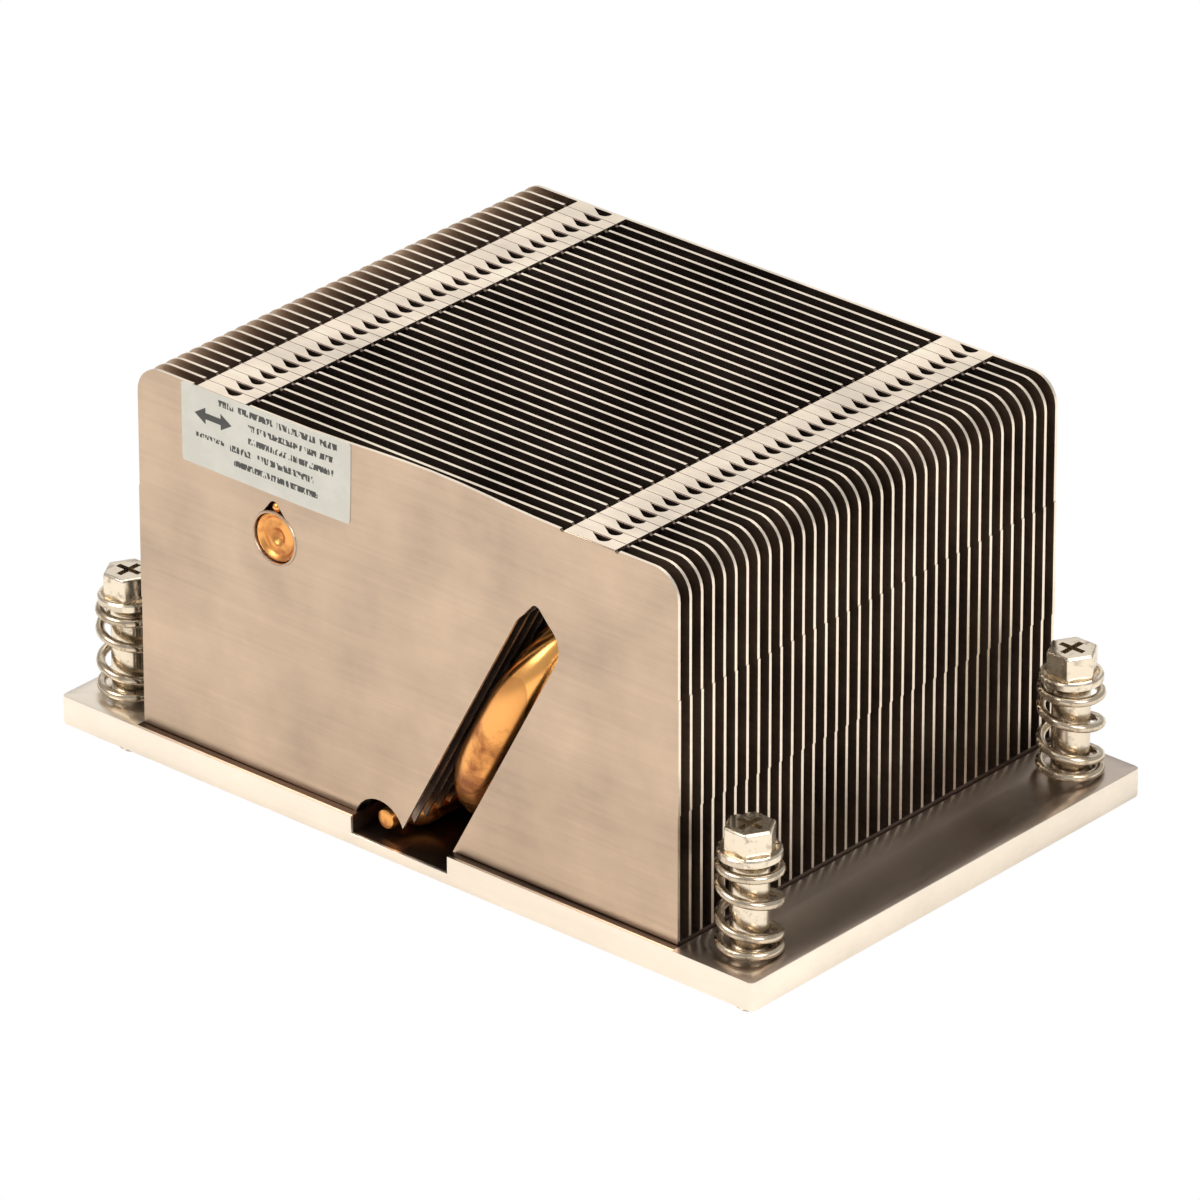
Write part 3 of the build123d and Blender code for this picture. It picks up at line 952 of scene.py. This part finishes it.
def makeFins():
    size = finSizes
    folded, flat = makeBlank(True), makeBlank(False)
    kindNames = {1: "slotRight", 0: "middle", -1: "slotLeft"}
    kinds = {side: makeFinKind(folded, side, name) for side, name in kindNames.items()}
    last = makeFinKind(flat, -1, "last")
    first = makeFinKind(folded, 1, "first")
    dentBack(first, -size["length"] / 2, size["length"] / 2)
    addCollar(first, -1)
    firstY = -size["pitch"] * (size["count"] - 1) / 2
    for number in range(size["count"]):
        slotSide = (number < size["slottedFins"]) - (number >= size["count"] - size["slottedFins"])
        model = {0: first, size["count"] - 1: last}.get(number, kinds[slotSide])
        fin = copyTo(model, "fin", (0, firstY + size["pitch"] * number, 0))
        handIn(fin, "fin_%02d" % (number + 1), "heatsink", "fin")
    for model in (folded, flat, first, last, *kinds.values()):
        bpy.data.objects.remove(model)


makeFins()
print("fins made")


# label, a thin film with rounded corners stuck on the front fin
labelSizes = {
    "left": -33.6, "right": -8.2, "low": 39.7, "high": 49.6, "front": -32.77, "back": -32.67,
    "corner": 0.35, "handle": 0.02,
}


def makeLabel():
    size = labelSizes
    left, right, front, back, high = (size[key] for key in ("left", "right", "front", "back", "high"))
    label = addBox("label", (left, front, size["low"]), (right, back, high))
    pick(label, "EDGE", lambda a, b: abs(a.y - b.y) > (back - front) / 2)
    bevelPicked(size["corner"], 3)
    # a handle at the middle of the dent lets the label follow it, and is then deleted
    grip = size["handle"]
    addBox("handle", (dent["x"] - grip, front, high - grip), (dent["x"] + grip, back, high))
    joinTo(label)
    dentBack(label, left, right)
    pick(label, "VERT", lambda point: point.x > right + past)
    bpy.ops.mesh.delete(type="VERT")
    leaveEditing()
    closeUp(label)
    handIn(label, "label", "heatsink", "label")


makeLabel()
print("label made")


# floor, camera and lamps, with their places in metres
stageLook = {
    "floorColour": (0.88, 0.87, 0.85, 1), "floorRoughness": 0.9, "floorSize": 6.0, "floorHeight": cadBox[0].z,
    "white": (1, 1, 1, 1), "lampColour": (1.0, 0.95, 0.88), "skyColour": (1.0, 0.98, 0.95, 1),
    "skyStrength": 0.5,
    "cameraTarget": Vector((0.65, -0.27, 20.77)) * mm, "cameraDistance": 1.3338,
    "cameraAzimuth": 41.335, "cameraElevation": 27.033, "cameraRoll": -0.09,
    "lens": 351.17, "sensorWidth": 36.0, "clipEnd": 50.0,
}
lamps = {
    "key": {"place": (-0.5, -1.1, 1.2), "size": 0.9, "power": 16},
    "side": {"place": (1.3, -0.2, 0.9), "size": 0.8, "power": 12},
    "top": {"place": (0.0, 0.4, 1.6), "size": 1.2, "power": 8},
    "back": {"place": (-0.75, 0.95, 0.85), "size": 1.2, "power": 1.8},
}


# the camera sees the floor plain white, and the heatsink reflects the floor's own colour
def makeFloor():
    look = stageLook
    bpy.ops.object.select_all(action="DESELECT")
    bpy.ops.mesh.primitive_plane_add(size=look["floorSize"], location=(0, 0, look["floorHeight"]))
    floor = bpy.context.object
    floor.name = "floor"
    material, tree, shader = newMaterial("paleFloor", 0.0)
    shader["Base Color"].default_value = look["floorColour"]
    shader["Roughness"].default_value = look["floorRoughness"]
    white = addNode(tree, "ShaderNodeEmission", Color=look["white"], Strength=1.0)
    seen = addNode(tree, "ShaderNodeLightPath")
    choose = addNode(tree, "ShaderNodeMixShader")
    tree.links.new(seen.outputs["Is Camera Ray"], choose.inputs[0])
    tree.links.new(tree.nodes["Principled BSDF"].outputs[0], choose.inputs[1])
    tree.links.new(white.outputs[0], choose.inputs[2])
    tree.links.new(choose.outputs[0], tree.nodes["Material Output"].inputs["Surface"])
    floor.data.materials.append(material)


def makeCamera():
    look = stageLook
    camera = bpy.data.cameras.new("camera")
    camera.lens, camera.sensor_width, camera.clip_end = look["lens"], look["sensorWidth"], look["clipEnd"]
    holder = bpy.data.objects.new("camera", camera)
    bpy.context.scene.collection.objects.link(holder)
    azimuth, elevation = math.radians(look["cameraAzimuth"]), math.radians(look["cameraElevation"])
    level = math.cos(elevation)
    away = Vector((math.sin(azimuth) * level, -math.cos(azimuth) * level, math.sin(elevation)))
    roll = Matrix.Rotation(math.radians(look["cameraRoll"]), 3, "Z")
    holder.location = look["cameraTarget"] + away * look["cameraDistance"]
    holder.rotation_euler = (away.to_track_quat("Z", "Y").to_matrix() @ roll).to_euler()
    bpy.context.scene.camera = holder


def makeLamps():
    for name, lamp in lamps.items():
        light = bpy.data.lights.new(name, "AREA")
        light.energy, light.size, light.color = lamp["power"], lamp["size"], stageLook["lampColour"]
        holder = bpy.data.objects.new(name, light)
        holder.location = lamp["place"]
        holder.rotation_euler = Vector(lamp["place"]).to_track_quat("Z", "Y").to_euler()
        bpy.context.scene.collection.objects.link(holder)
    world = bpy.data.worlds.new("studio")
    bpy.context.scene.world = world
    world.use_nodes = True
    sky = world.node_tree.nodes["Background"].inputs
    sky["Color"].default_value = stageLook["skyColour"]
    sky["Strength"].default_value = stageLook["skyStrength"]


makeFloor()
makeCamera()
makeLamps()
bpy.context.scene.view_settings.view_transform = "Standard"
print("stage ready")
